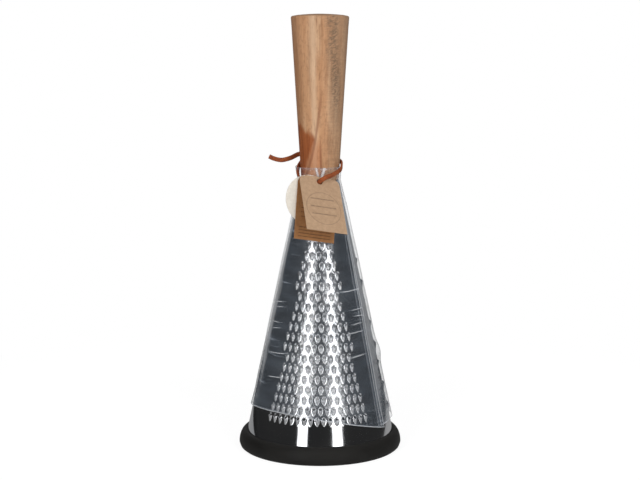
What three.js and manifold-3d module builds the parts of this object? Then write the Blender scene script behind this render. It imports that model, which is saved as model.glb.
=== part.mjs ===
// A conical hand grater: a rolled sheet-steel cone with punched teeth, a turned wooden handle screwed
// to its top, a rubber foot ring round its base, a clear protective film round the steel, and two card
// tags on a flat leather lace round the neck. Millimetres, +Z up, origin at the centre of the foot.
// The front of the grater, with the tags, faces -Y.
import * as THREE from "three";
import { ConvexGeometry } from "three/addons/geometries/ConvexGeometry.js";
import { mergeVertices } from "three/addons/utils/BufferGeometryUtils.js";
import Module from "manifold-3d";

const wasm = await Module();
wasm.setup();

// Driving dimensions of the grater
const OVERALL_HEIGHT = 301;
const JOINT_HEIGHT = 188; // where the wood meets the steel
const HANDLE_TOP_RADIUS = 20;
const NECK_RADIUS = 13; // of the wood at the joint
const HANDLE_EDGE_ROUND = 1.4;
const HANDLE_CROWN = 1.4; // rise of the top from its rim to its middle
const SPIGOT_LENGTH = 8; // the stepped end of the handle, inside the cone
const SHEET = 0.8; // thickness of the steel
const CONE_FOOT_RADIUS = 52.8; // outside of the steel at its lower edge
const CONE_FOOT_HEIGHT = 4;
const CONE_TOP_RADIUS = 13.1; // outside of the steel at the joint
const SEAM_WIDTH = 5; // lap seam at the back
const SEAM_RISE = 0.35;
const SEAT_GAP = 0.3; // between pieces that seat on each other

// Foot ring
const RING_HEIGHT = 12;
const RING_WALL = 4.6; // rubber inside the steel
const RING_INNER_LIP = 9; // height of the rubber inside the steel
const RING_FLARE = 4.2; // how far the skirt stands out past the steel's lower edge
const RING_FLARE_HEIGHT = 3;
const RING_SOLE_INSET = 1.4;
const RING_TOP_LIP = 0.5; // thickness of the rubber's upper edge outside the steel

// Fixing of the handle
const PLATE_THICKNESS = 1.2;
const WASHER_RADIUS = 6.5;
const WASHER_THICKNESS = 1.2;
const SCREW_RADIUS = 2.2;
const SCREW_HEAD_RADIUS = 4.4;
const SCREW_HEAD_HEIGHT = 3;
const SCREW_BITE = 34; // length of the screw in the wood
const PILOT_SPARE = 1; // pilot hole past the screw's point
const RECESS_LENGTH = 5;
const RECESS_WIDTH = 1.1;
const RECESS_DEPTH = 1.8;

// Punched teeth. A row's teeth stand side by side, half a pitch off from the rows next to it.
const MEDIUM_TOOTH = { width: 3, length: 5, height: 1.15 };
const MEDIUM_PITCH = 4.45;
const MEDIUM_ROW_PITCH = 7;
const MEDIUM_COUNTS = [17, 16, 15, 14, 13, 12, 11, 12, 11, 10, 9, 8, 7, 8, 7, 6, 5, 4, 3, 2, 1]; // from below
const COARSE_TOOTH = { width: 6.4, length: 9, height: 1.5 };
const COARSE_PITCH = 10.6;
const COARSE_ROW_PITCH = 15;
const COARSE_COUNTS = [5, 4, 3, 4, 3, 2, 3, 2, 1];
const SLICER = { width: 30, length: 7, height: 1.4 };
const SLICER_ROW_PITCH = 24;
const SLICER_WIDTHS = [1, 0.86, 0.72, 0.58, 0.44]; // of the slicer's width, from below
const FIRST_ROW_HEIGHT = 29.5;
const FRONT_TURN = -2.3; // degrees from the front to the middle of the medium teeth
const ZONE_SPACING = 120; // degrees between the three grating faces

// Protective film
const FILM_THICKNESS = 0.4;
const FILM_STANDOFF = 1.9; // from the steel, over the teeth
const FILM_TEETH_TOP = 171; // above here it closes in on the neck
const FILM_TOP_STANDOFF = 1;
const FILM_TOP_HEIGHT = 195;
const FILM_EDGE_HEIGHT = 21; // lower edge of the film, half way down its slant
const FILM_EDGE_SLANT = 11.5; // how far it rises and falls from there
const FILM_HIGH_POINT = -42; // degrees from the front to where it is highest

// Tags and lace
const CARD = 0.6;
const TAG_GAP = 0.3;
const HOLE_RADIUS = 2.3;
const ROUND_TAG_RADIUS = 17;
const ROUND_TAG_HOLE_INSET = 3.7; // from the rim to the hole's centre
const ROUND_TAG_ROLL = 35; // degrees, as it hangs behind the folded tag
const FOLDED_TAG_WIDTH = 29.8;
const FOLDED_TAG_LENGTH = 43; // from the fold to the lower edge
const FOLD_WIDTH = 20;
const SHOULDER_DROP = 5; // from the fold to where the sides begin
const FOLD_ABOVE_HOLE = 3.4;
const FOLDED_TAG_ROLL = 10.4; // degrees
const FOLD_OPENING = 25.9; // degrees between the two leaves
const TAG_YAW = 26.7; // degrees that the tags face to the right
const TAG_SIDE = -1.9; // from the middle to the hole
const TAG_STANDOFF = 19.8; // from the handle's axis to the hole
const TAG_HOLE_HEIGHT = 187;
const LACE_WIDTH = 3.2;
const LACE_THICKNESS = 1.6;
const LACE_SIDES = 8;
const LACE_STEPS = 3; // between two points of its route
const KNOT = { width: 7, depth: 4.4, height: 6.4 };
const KNOT_HEIGHT = 202.6;

// Smoothness
const ROUND_SEGMENTS = 48;
const SMALL_SEGMENTS = 24;

// Worked out from the sizes above
const coneSlope = (CONE_FOOT_RADIUS - CONE_TOP_RADIUS) / (JOINT_HEIGHT - CONE_FOOT_HEIGHT);
const coneAngle = Math.atan(coneSlope);
const sheetAcross = SHEET / Math.cos(coneAngle); // the wall measured level
const coneRadius = (z) => CONE_FOOT_RADIUS - coneSlope * (z - CONE_FOOT_HEIGHT);
const boreRadius = (z) => coneRadius(z) - sheetAcross;
const handleSlope = (HANDLE_TOP_RADIUS - NECK_RADIUS) / (OVERALL_HEIGHT - JOINT_HEIGHT);
const handleRadius = (z) => NECK_RADIUS + handleSlope * (z - JOINT_HEIGHT);
const spigotFoot = JOINT_HEIGHT - SPIGOT_LENGTH;
const plateTop = spigotFoot - SEAT_GAP;
const plateFoot = plateTop - PLATE_THICKNESS;
const washerTop = plateFoot - SEAT_GAP;
const washerFoot = washerTop - WASHER_THICKNESS;
const headTop = washerFoot - SEAT_GAP;
const screwTip = spigotFoot + SCREW_BITE;

// Colours and finishes
const wood = new THREE.MeshStandardMaterial({ color: 0xb98d62, roughness: 0.55, metalness: 0 });
const steel = new THREE.MeshStandardMaterial({ color: 0xc9ccd0, roughness: 0.12, metalness: 1 });
const zinc = new THREE.MeshStandardMaterial({ color: 0xa9abad, roughness: 0.35, metalness: 1 });
const rubber = new THREE.MeshStandardMaterial({ color: 0x1c1c1c, roughness: 0.75, metalness: 0 });
const film = new THREE.MeshStandardMaterial({
  color: 0xe8eef2,
  roughness: 0.1,
  metalness: 0,
  transparent: true,
  opacity: 0.25,
});
const leather = new THREE.MeshStandardMaterial({ color: 0x7a4026, roughness: 0.8, metalness: 0 });
const kraft = new THREE.MeshStandardMaterial({ color: 0xb08e6a, roughness: 0.9, metalness: 0 });
const cream = new THREE.MeshStandardMaterial({ color: 0xe2dfd2, roughness: 0.9, metalness: 0 });

const radians = THREE.MathUtils.degToRad;
const grater = new THREE.Group();

function addMesh(name, geometry, material, parent = grater) {
  const mesh = new THREE.Mesh(geometry, material);
  mesh.name = name;
  parent.add(mesh);
  return mesh;
}

// A closed geometry as a solid that can be joined and cut.
function solid(geometry) {
  const bare = geometry.index ? geometry.toNonIndexed() : geometry.clone();
  bare.deleteAttribute("normal");
  bare.deleteAttribute("uv");
  const merged = mergeVertices(bare, 1e-4);
  return new wasm.Manifold(
    new wasm.Mesh({
      numProp: 3,
      vertProperties: merged.attributes.position.array,
      triVerts: new Uint32Array(merged.index.array),
    }),
  );
}

function geometryOf(manifold) {
  const mesh = manifold.getMesh();
  const geometry = new THREE.BufferGeometry();
  geometry.setAttribute("position", new THREE.BufferAttribute(mesh.vertProperties, 3));
  geometry.setIndex(new THREE.BufferAttribute(mesh.triVerts, 1));
  geometry.computeVertexNormals();
  return geometry;
}

// A solid of revolution about Z. The profile is [radius, height] points, anticlockwise in section.
function turned(profile, segments = ROUND_SEGMENTS) {
  const points = profile.map(([r, z]) => new THREE.Vector2(r, z));
  return new THREE.LatheGeometry(points, segments).rotateX(Math.PI / 2);
}

function turnedRing(profile, segments = ROUND_SEGMENTS) {
  return turned([...profile, profile[0]], segments);
}

// A place on the outside of the cone: across along the arc, up along the slant, out along the normal.
function onCone(turn, z) {
  const radial = new THREE.Vector3(Math.sin(turn), -Math.cos(turn), 0);
  const across = new THREE.Vector3(Math.cos(turn), Math.sin(turn), 0);
  const up = radial.clone().multiplyScalar(-Math.sin(coneAngle)).setZ(Math.cos(coneAngle));
  const out = radial.clone().multiplyScalar(Math.cos(coneAngle)).setZ(Math.sin(coneAngle));
  const place = radial.clone().multiplyScalar(coneRadius(z)).setZ(z);
  return new THREE.Matrix4().makeBasis(across, up, out).setPosition(place);
}

function hull(corners) {
  return solid(new ConvexGeometry(corners));
}

const placed = (points, place) => points.map((point) => new THREE.Vector3(...point).applyMatrix4(place));

// A scoop raised from the sheet: its open mouth faces up the cone, and it runs out to a point below.
function toothBump({ width, length, height }, place) {
  const root = -SHEET / 2;
  const points = [
    [-0.62 * width, 0, root],
    [0.62 * width, 0, root],
    [0, -1.15 * length, root],
    [0, -0.06 * length, height],
  ];
  return hull(placed(points, place));
}

// The hole behind a scoop: it narrows outwards, from the inside of the sheet to the scoop's mouth.
function toothHole({ width, length, height }, place) {
  const inside = -1.6 * SHEET;
  const points = [
    [-0.44 * width, -0.25 * length, inside],
    [0.44 * width, -0.25 * length, inside],
    [0, 0.5 * length, inside],
    [0, -0.02 * length, 0.62 * height],
  ];
  return hull(placed(points, place));
}

// A section of a slicing blade, repeated at places along the arc of the sheet and joined.
function alongArc(section, turn, z, width) {
  const places = [-0.5, -0.25, 0, 0.25, 0.5].map((share) => onCone(turn + (share * width) / coneRadius(z), z));
  return hull(places.flatMap((place) => placed(section, place)));
}

// A slicing blade: a wide low lip
function slicerBump({ width, length, height }, turn, z) {
  const section = [
    [0, 0, -SHEET / 2],
    [0, -0.05 * length, height],
    [0, -0.5 * length, 0.8 * height],
    [0, -length, -SHEET / 2],
  ];
  return alongArc(section, turn, z, width);
}

// The slot above a slicing blade, through the sheet and in under the lip
function slicerSlot({ width, length, height }, turn, z) {
  const section = [
    [0, -0.4 * length, -2 * SHEET],
    [0, 0.3 * length, -2 * SHEET],
    [0, -0.4 * length, 0.4 * height],
    [0, 0.3 * length, 0.4 * height],
  ];
  return alongArc(section, turn, z, width - length);
}

// The places of a face's teeth, row by row from below, centred on a turn about the axis.
function toothPlaces(counts, pitch, rowPitch, middle) {
  return counts.flatMap((count, row) => {
    const z = FIRST_ROW_HEIGHT + row * rowPitch * Math.cos(coneAngle);
    return Array.from({ length: count }, (_, k) => {
      const arc = (k - (count - 1) / 2) * pitch;
      return onCone(middle + arc / coneRadius(z), z);
    });
  });
}

// The cone: one rolled sheet with its lap seam and three faces of punched teeth
function graterCone() {
  const top = JOINT_HEIGHT - SEAT_GAP;
  const shell = turnedRing([
    [boreRadius(CONE_FOOT_HEIGHT), CONE_FOOT_HEIGHT],
    [coneRadius(CONE_FOOT_HEIGHT), CONE_FOOT_HEIGHT],
    [coneRadius(top), top],
    [boreRadius(top), top],
  ]);
  const medium = toothPlaces(MEDIUM_COUNTS, MEDIUM_PITCH, MEDIUM_ROW_PITCH, radians(FRONT_TURN));
  const coarse = toothPlaces(
    COARSE_COUNTS,
    COARSE_PITCH,
    COARSE_ROW_PITCH,
    radians(FRONT_TURN + ZONE_SPACING),
  );
  const slicerTurn = radians(FRONT_TURN - ZONE_SPACING);
  const slicers = SLICER_WIDTHS.map((share, row) => {
    const z = FIRST_ROW_HEIGHT + row * SLICER_ROW_PITCH;
    return { size: { ...SLICER, width: SLICER.width * share }, z };
  });
  const seamFoot = RING_HEIGHT + SEAT_GAP;
  const seamLength = (top - seamFoot) / Math.cos(coneAngle);
  const seam = new THREE.BoxGeometry(SEAM_WIDTH, seamLength, SHEET)
    .translate(0, seamLength / 2, SEAM_RISE - SHEET / 2)
    .applyMatrix4(onCone(Math.PI, seamFoot));
  const raised = [
    ...medium.map((place) => toothBump(MEDIUM_TOOTH, place)),
    ...coarse.map((place) => toothBump(COARSE_TOOTH, place)),
    solid(seam),
  ];
  const holes = [
    ...medium.map((place) => toothHole(MEDIUM_TOOTH, place)),
    ...coarse.map((place) => toothHole(COARSE_TOOTH, place)),
    ...slicers.map(({ size, z }) => slicerSlot(size, slicerTurn, z)),
  ];
  // A blade's lip starts from the middle of the sheet.
  const underLips = solid(
    turned([
      [0, CONE_FOOT_HEIGHT],
      [coneRadius(CONE_FOOT_HEIGHT) - sheetAcross / 2, CONE_FOOT_HEIGHT],
      [coneRadius(top) - sheetAcross / 2, top],
      [0, top],
    ]),
  );
  const blades = slicers.map(({ size, z }) => slicerBump(size, slicerTurn, z));
  const lips = wasm.Manifold.union(blades).subtract(underLips);
  const sheet = solid(shell).add(wasm.Manifold.union(raised)).add(lips);
  return geometryOf(sheet.subtract(wasm.Manifold.union(holes)));
}

// The handle: a tapered turning with a spigot below and a blind pilot hole for its screw
function handle() {
  const top = OVERALL_HEIGHT;
  const rim = top - HANDLE_CROWN;
  const foot = JOINT_HEIGHT;
  const spigotRadius = boreRadius(foot) - SEAT_GAP;
  const pilotRadius = SCREW_RADIUS + SEAT_GAP;
  const pilotTop = screwTip + PILOT_SPARE;
  const edge = [0, 30, 60, 90].map((degrees) => [
    handleRadius(rim) - HANDLE_EDGE_ROUND * (1 - Math.cos(radians(degrees))),
    rim - HANDLE_EDGE_ROUND * (1 - Math.sin(radians(degrees))),
  ]);
  const crown = [0.7, 0.4].map((share) => [share * handleRadius(rim), top - share ** 2 * HANDLE_CROWN]);
  return turned([
    [0, pilotTop],
    [pilotRadius, pilotTop],
    [pilotRadius, spigotFoot],
    [boreRadius(spigotFoot) - SEAT_GAP - sheetAcross, spigotFoot],
    [spigotRadius, foot],
    [handleRadius(foot), foot],
    ...edge,
    ...crown,
    [0, top],
  ]);
}

// The plate inside the top of the cone, which carries the screw
function topPlate() {
  const bore = SCREW_RADIUS + SEAT_GAP;
  return turnedRing([
    [bore, plateFoot],
    [boreRadius(plateFoot) - SEAT_GAP, plateFoot],
    [boreRadius(plateTop) - SEAT_GAP, plateTop],
    [bore, plateTop],
  ]);
}

function washer() {
  const bore = SCREW_RADIUS + SEAT_GAP;
  const profile = [
    [bore, washerFoot],
    [WASHER_RADIUS, washerFoot],
    [WASHER_RADIUS, washerTop],
    [bore, washerTop],
  ];
  return turnedRing(profile, SMALL_SEGMENTS);
}

// The screw: a domed head with a cross recess, a shank and a point
function screw() {
  const headFoot = headTop - SCREW_HEAD_HEIGHT;
  const body = turned(
    [
      [0, headFoot],
      [0.6 * SCREW_HEAD_RADIUS, headFoot],
      [0.92 * SCREW_HEAD_RADIUS, headFoot + 0.35 * SCREW_HEAD_HEIGHT],
      [SCREW_HEAD_RADIUS, headTop],
      [SCREW_RADIUS, headTop],
      [SCREW_RADIUS, screwTip - 3 * SCREW_RADIUS],
      [0, screwTip],
    ],
    SMALL_SEGMENTS,
  );
  const slot = new THREE.BoxGeometry(RECESS_LENGTH, RECESS_WIDTH, 2 * RECESS_DEPTH);
  const cross = solid(slot).add(solid(slot.clone().rotateZ(Math.PI / 2)));
  return geometryOf(solid(body).subtract(cross.translate([0, 0, headFoot])));
}

// The foot ring: a flared rubber skirt with a groove that the steel's lower edge stands in
function footRing() {
  const grooveFoot = CONE_FOOT_HEIGHT - SEAT_GAP;
  const outer = (z) => coneRadius(z) + SEAT_GAP;
  const inner = (z) => boreRadius(z) - SEAT_GAP;
  const flare = CONE_FOOT_RADIUS + RING_FLARE;
  const lip = outer(RING_HEIGHT) + RING_TOP_LIP;
  const ringBore = inner(CONE_FOOT_HEIGHT) - RING_WALL;
  const skirt = [0, 22.5, 45, 67.5, 90].map((degrees) => [
    lip + (flare - lip) * Math.cos(radians(degrees)),
    RING_FLARE_HEIGHT + (RING_HEIGHT - RING_FLARE_HEIGHT) * Math.sin(radians(degrees)),
  ]);
  return turnedRing([
    [ringBore, 0],
    [flare - RING_SOLE_INSET, 0],
    ...skirt,
    [outer(RING_HEIGHT), RING_HEIGHT],
    [outer(grooveFoot), grooveFoot],
    [inner(grooveFoot), grooveFoot],
    [inner(RING_INNER_LIP), RING_INNER_LIP],
    [ringBore, RING_INNER_LIP],
  ]);
}

// The film's lower edge slants: it is highest on one side, and rests on the ring on the other
function filmFoot(turn) {
  const slant = FILM_EDGE_SLANT * Math.cos(turn - radians(FILM_HIGH_POINT));
  return Math.max(RING_HEIGHT + SEAT_GAP, FILM_EDGE_HEIGHT + slant);
}

// The film: a thin sleeve round the steel that ends on the neck of the handle
function filmSleeve() {
  const closeIn = (z) => (z < JOINT_HEIGHT ? FILM_STANDOFF : FILM_TOP_STANDOFF);
  const inner = (z) => closeIn(z) + (z > JOINT_HEIGHT ? handleRadius(z) : coneRadius(z));
  const positions = [];
  const index = [];
  for (let i = 0; i < ROUND_SEGMENTS; i++) {
    const turn = (2 * Math.PI * i) / ROUND_SEGMENTS;
    const foot = filmFoot(turn);
    const heights = [foot, FILM_TEETH_TOP, JOINT_HEIGHT, FILM_TOP_HEIGHT];
    const section = [
      ...heights.map((z) => [inner(z) + FILM_THICKNESS, z]),
      ...heights.reverse().map((z) => [inner(z), z]),
    ];
    for (const [r, z] of section) positions.push(r * Math.sin(turn), -r * Math.cos(turn), z);
    const next = (i + 1) % ROUND_SEGMENTS;
    for (let j = 0; j < section.length; j++) {
      const k = (j + 1) % section.length;
      const [a, b] = [i * section.length + j, next * section.length + j];
      const [c, d] = [next * section.length + k, i * section.length + k];
      index.push(a, b, c, a, c, d);
    }
  }
  const geometry = new THREE.BufferGeometry();
  geometry.setAttribute("position", new THREE.Float32BufferAttribute(positions, 3));
  geometry.setIndex(index);
  geometry.computeVertexNormals();
  return geometry;
}

// A card cut to an outline in the x-z plane, with a punched hole at the origin; it lies from y = 0 outwards
function card(outline) {
  outline.holes.push(new THREE.Path().absarc(0, 0, HOLE_RADIUS, 0, 2 * Math.PI, true));
  const settings = { depth: CARD, bevelEnabled: false, curveSegments: SMALL_SEGMENTS / 2 };
  return new THREE.ExtrudeGeometry(outline, settings).rotateX(Math.PI / 2);
}

function roundOutline() {
  const drop = ROUND_TAG_RADIUS - ROUND_TAG_HOLE_INSET;
  return new THREE.Shape().absarc(0, -drop, ROUND_TAG_RADIUS, 0, 2 * Math.PI, false);
}

// One leaf of the folded tag: a straight fold between two rounded shoulders
function leafOutline() {
  const half = FOLDED_TAG_WIDTH / 2;
  const top = FOLD_ABOVE_HOLE;
  const shoulder = top - SHOULDER_DROP;
  const foot = top - FOLDED_TAG_LENGTH;
  return new THREE.Shape()
    .moveTo(-half, foot)
    .lineTo(half, foot)
    .lineTo(half, shoulder)
    .quadraticCurveTo(half, top, FOLD_WIDTH / 2, top)
    .lineTo(-FOLD_WIDTH / 2, top)
    .quadraticCurveTo(-half, top, -half, shoulder);
}

// The tags hang at the front from one point of the lace, one in front of the other
const tagFrame = new THREE.Group();
tagFrame.position.set(TAG_SIDE, -TAG_STANDOFF, TAG_HOLE_HEIGHT);
tagFrame.rotation.set(-coneAngle, 0, radians(TAG_YAW), "ZXY");
const roundTagHanger = new THREE.Group();
roundTagHanger.rotation.y = radians(ROUND_TAG_ROLL);
const foldedTagHanger = new THREE.Group();
foldedTagHanger.position.y = -(CARD + TAG_GAP);
foldedTagHanger.rotation.y = radians(FOLDED_TAG_ROLL);
const fold = new THREE.Group();
fold.position.set(0, -(CARD + TAG_GAP), FOLD_ABOVE_HOLE);
fold.rotation.x = -radians(FOLD_OPENING);
grater.add(tagFrame);
tagFrame.add(roundTagHanger, foldedTagHanger);
foldedTagHanger.add(fold);
grater.updateMatrixWorld(true);

// The lace: a flat strip along a smooth route, its flat side facing away from the neck where it starts
function lace(points) {
  const curve = new THREE.CatmullRomCurve3(points, false, "centripetal");
  const steps = LACE_STEPS * (points.length - 1);
  const facing = points[0].clone().setZ(0);
  const positions = [];
  const index = [];
  for (let i = 0; i <= steps; i++) {
    const centre = curve.getPoint(i / steps);
    const along = curve.getTangent(i / steps);
    facing.addScaledVector(along, -facing.dot(along)).normalize();
    const side = along.clone().cross(facing);
    for (let k = 0; k < LACE_SIDES; k++) {
      const angle = (2 * Math.PI * (k + 0.5)) / LACE_SIDES;
      const corner = centre.clone();
      corner.addScaledVector(facing, (LACE_THICKNESS / 2) * Math.cos(angle));
      corner.addScaledVector(side, (LACE_WIDTH / 2) * Math.sin(angle));
      positions.push(corner.x, corner.y, corner.z);
    }
  }
  const corner = (i, k) => i * LACE_SIDES + (k % LACE_SIDES);
  for (let i = 0; i < steps; i++) {
    for (let k = 0; k < LACE_SIDES; k++) {
      index.push(corner(i, k), corner(i, k + 1), corner(i + 1, k + 1));
      index.push(corner(i, k), corner(i + 1, k + 1), corner(i + 1, k));
    }
  }
  for (let k = 1; k < LACE_SIDES - 1; k++) {
    index.push(corner(0, 0), corner(0, k + 1), corner(0, k));
    index.push(corner(steps, 0), corner(steps, k), corner(steps, k + 1));
  }
  const geometry = new THREE.BufferGeometry();
  geometry.setAttribute("position", new THREE.Float32BufferAttribute(positions, 3));
  geometry.setIndex(index);
  geometry.computeVertexNormals();
  return geometry;
}

// A point round the neck: degrees from the front towards the right, radius, height
const round = (degrees, radius, z) =>
  new THREE.Vector3(radius * Math.sin(radians(degrees)), -radius * Math.cos(radians(degrees)), z);
// A point in the folded tag's own axes: right, out from its back, up
const atTag = (x, out, z) => foldedTagHanger.localToWorld(new THREE.Vector3(x, -out, z));
// A point on the arc that the front leaf's hole makes about the fold
const atFold = (degrees) =>
  atTag(
    0,
    CARD + TAG_GAP + FOLD_ABOVE_HOLE * Math.sin(radians(degrees)),
    FOLD_ABOVE_HOLE * (1 - Math.cos(radians(degrees))),
  );

const loopRoute = [
  round(-166.5, 15.2, KNOT_HEIGHT),
  round(-135, 15, 201),
  round(-105, 15, 198.6),
  round(-80, 15.9, 196.6),
  round(-60, 17.2, 192.4),
  atTag(-5.4, -4, -1),
  atTag(-1.1, -2.5, -0.2),
  atTag(0, 0, 0),
  atFold(18),
  atFold(FOLD_OPENING),
  atFold(FOLD_OPENING + 16),
  atTag(2.8, 5.6, 3.4),
  round(24, 21.2, 192.8),
  round(50, 18, 195.4),
  round(78, 15.2, 197.8),
  round(105, 15, 199.7),
  round(135, 15, 201.3),
  round(166.5, 15.2, KNOT_HEIGHT),
];
const tailRoute = [
  new THREE.Vector3(-3.75, 17.6, 203.4),
  new THREE.Vector3(-9, 17.8, 205),
  new THREE.Vector3(-15, 15.5, 204.2),
  new THREE.Vector3(-21, 13, 201.6),
  new THREE.Vector3(-27, 11.6, 200.4),
  new THREE.Vector3(-32, 11, 201.4),
  new THREE.Vector3(-35.5, 10.6, 203),
];
const shortTailRoute = [
  new THREE.Vector3(1.2, 17.2, 199.1),
  new THREE.Vector3(2.6, 19.4, 192),
  new THREE.Vector3(4, 21.4, 183),
  new THREE.Vector3(6, 24, 173),
  new THREE.Vector3(8, 26, 166),
];

function knot() {
  const ball = new THREE.SphereGeometry(0.5, SMALL_SEGMENTS / 2, SMALL_SEGMENTS / 3);
  ball.scale(KNOT.width, KNOT.depth, KNOT.height);
  const neck = handleRadius(KNOT_HEIGHT);
  return ball.translate(0, neck + SEAT_GAP + KNOT.depth / 2, KNOT_HEIGHT);
}

// The assembly
addMesh("handle", handle(), wood);
addMesh("grater_cone", graterCone(), steel);
addMesh("top_plate", topPlate(), steel);
addMesh("screw_washer", washer(), zinc);
addMesh("handle_screw", screw(), zinc);
addMesh("foot_ring", footRing(), rubber);
addMesh("film_sleeve", filmSleeve(), film);
addMesh("round_tag", card(roundOutline()), cream, roundTagHanger);
addMesh("folded_tag_back", card(leafOutline()), kraft, foldedTagHanger);
addMesh("folded_tag_front", card(leafOutline()).translate(0, 0, -FOLD_ABOVE_HOLE), kraft, fold);
addMesh("lace_loop", lace(loopRoute), leather);
addMesh("lace_knot", knot(), leather);
addMesh("lace_long_tail", lace(tailRoute), leather);
addMesh("lace_short_tail", lace(shortTailRoute), leather);

export default grater;
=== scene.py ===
from math import atan, atan2, ceil, copysign, cos, exp, floor, pi, radians, remainder, sin, tau
from math import degrees as to_degrees

import bpy
from mathutils import Matrix, Vector
from mathutils.geometry import delaunay_2d_cdt


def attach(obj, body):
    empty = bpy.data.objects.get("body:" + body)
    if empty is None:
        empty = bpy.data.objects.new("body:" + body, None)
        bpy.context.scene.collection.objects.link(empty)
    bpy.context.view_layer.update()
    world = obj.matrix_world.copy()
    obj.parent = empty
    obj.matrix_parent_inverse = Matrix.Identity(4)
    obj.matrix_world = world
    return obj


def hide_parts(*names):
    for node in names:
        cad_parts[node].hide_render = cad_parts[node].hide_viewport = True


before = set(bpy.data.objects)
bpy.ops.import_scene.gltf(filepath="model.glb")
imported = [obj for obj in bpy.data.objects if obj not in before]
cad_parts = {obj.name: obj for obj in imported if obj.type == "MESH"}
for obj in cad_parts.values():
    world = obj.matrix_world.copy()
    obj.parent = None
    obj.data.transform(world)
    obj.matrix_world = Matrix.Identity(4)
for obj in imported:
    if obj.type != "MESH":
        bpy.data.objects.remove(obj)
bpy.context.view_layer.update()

MM = 0.001

# Sizes of the grater, in millimetres and degrees, as in the CAD model
OVERALL_HEIGHT = 301
JOINT_HEIGHT = 188
HANDLE_TOP_RADIUS = 20
HANDLE_CROWN = 1.4
HANDLE_EDGE_ROUND = 1.4
NECK_RADIUS = 13
SPIGOT_LENGTH = 8
CONE_FOOT_RADIUS = 52.8
CONE_FOOT_HEIGHT = 4
CONE_TOP_RADIUS = 13.1
SEAM_WIDTH = 5
RING_HEIGHT = 12
RING_INNER_LIP = 9
RING_FLARE = 4.2
RING_FLARE_HEIGHT = 3
FRONT_TURN = -2.3
ZONE_SPACING = 120
FIRST_ROW_HEIGHT = 29.5
MEDIUM_PITCH = 4.45
MEDIUM_ROW_PITCH = 7
MEDIUM_COUNTS = [17, 16, 15, 14, 13, 12, 11, 12, 11, 10, 9, 8, 7, 8, 7, 6, 5, 4, 3, 2, 1]
COARSE_PITCH = 10.6
COARSE_ROW_PITCH = 15
COARSE_COUNTS = [5, 4, 3, 4, 3, 2, 3, 2, 1]
SLICER_ROW_PITCH = 24
SLICER_WIDTHS = [1, 0.86, 0.72, 0.58, 0.44]
FILM_EDGE_HEIGHT = 21
FILM_EDGE_SLANT = 11.5
FILM_HIGH_POINT = -42
CARD = 0.6
TAG_GAP = 0.3
TAG_HOLE = Vector((-1.9, -19.8, 187))
TAG_YAW = 26.7
ROUND_TAG_RADIUS = 17
ROUND_TAG_HOLE_INSET = 3.7
ROUND_TAG_ROLL = 35
FOLDED_TAG_WIDTH = 29.8
FOLDED_TAG_LENGTH = 43
FOLDED_TAG_ROLL = 10.4
FOLD_WIDTH = 20
FOLD_ABOVE_HOLE = 3.4
FOLD_OPENING = 25.9
SHOULDER_DROP = 5
LACE_WIDTH = 3.2
LACE_THICKNESS = 1.6
KNOT_HEIGHT = 202.6

# Sizes that only this scene has: thinner sheets, fine edges, and the film's lap
PILOT_RADIUS = 2.5
PILOT_TOP = 214
SPIGOT_FOOT_RADIUS = 12.6
SPIGOT_TOP_RADIUS = 12
NECK_EDGE = 0.4
GRIP_HEIGHTS = range(190, 297, 6)
SHEET = 0.6
CONE_TOP_HEIGHT = 187.7
SEAM_STEP = 1.05 * SHEET
SEAM_FADE = 2.5
RING_BORE = 47.1
RING_EDGE = 0.6
RING_LIP = 0.8
SOLE_INSET = 1.8
SOLE_EDGE = 0.8
GROOVE_FLOOR = 3.7
GROOVE_GAP = 0.15
GROOVE_DEPTH = 1.1
FILM_THICKNESS = 0.2
FILM_TOP_HEIGHT = 197
FILM_INNER_EDGE = 56.7
FILM_OUTER_EDGE = 60
FILM_INNER_FOOT = 20.3
FILM_ABOVE_RING = 0.6
SHOWN_CARD = 0.5
SHOWN_HOLE = 2.2
FOLD_THICKNESS = 1.5

COARSE_TURN = FRONT_TURN + ZONE_SPACING
SLICER_TURN = FRONT_TURN - ZONE_SPACING
CONE_SLOPE = (CONE_FOOT_RADIUS - CONE_TOP_RADIUS) / (JOINT_HEIGHT - CONE_FOOT_HEIGHT)
CONE_ANGLE = atan(CONE_SLOPE)
APEX_HEIGHT = JOINT_HEIGHT + CONE_TOP_RADIUS / CONE_SLOPE
RIM_HEIGHT = OVERALL_HEIGHT - HANDLE_CROWN


def cone_radius(z):
    return (APEX_HEIGHT - z) * CONE_SLOPE


def handle_radius(z):
    share = (z - JOINT_HEIGHT) / (OVERALL_HEIGHT - JOINT_HEIGHT)
    return NECK_RADIUS + (HANDLE_TOP_RADIUS - NECK_RADIUS) * share


def toned(colour):
    """A node's colour, from one given as it looks on screen. Another node's output stays as it is."""
    if not isinstance(colour, tuple):
        return colour
    shares = [level / 255 for level in colour]
    return (*(s / 12.92 if s <= 0.04045 else ((s + 0.055) / 1.055) ** 2.4 for s in shares), 1)


# Most of a noise lies between these values
NOISE_LOW = 0.3
NOISE_HIGH = 0.7


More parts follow.
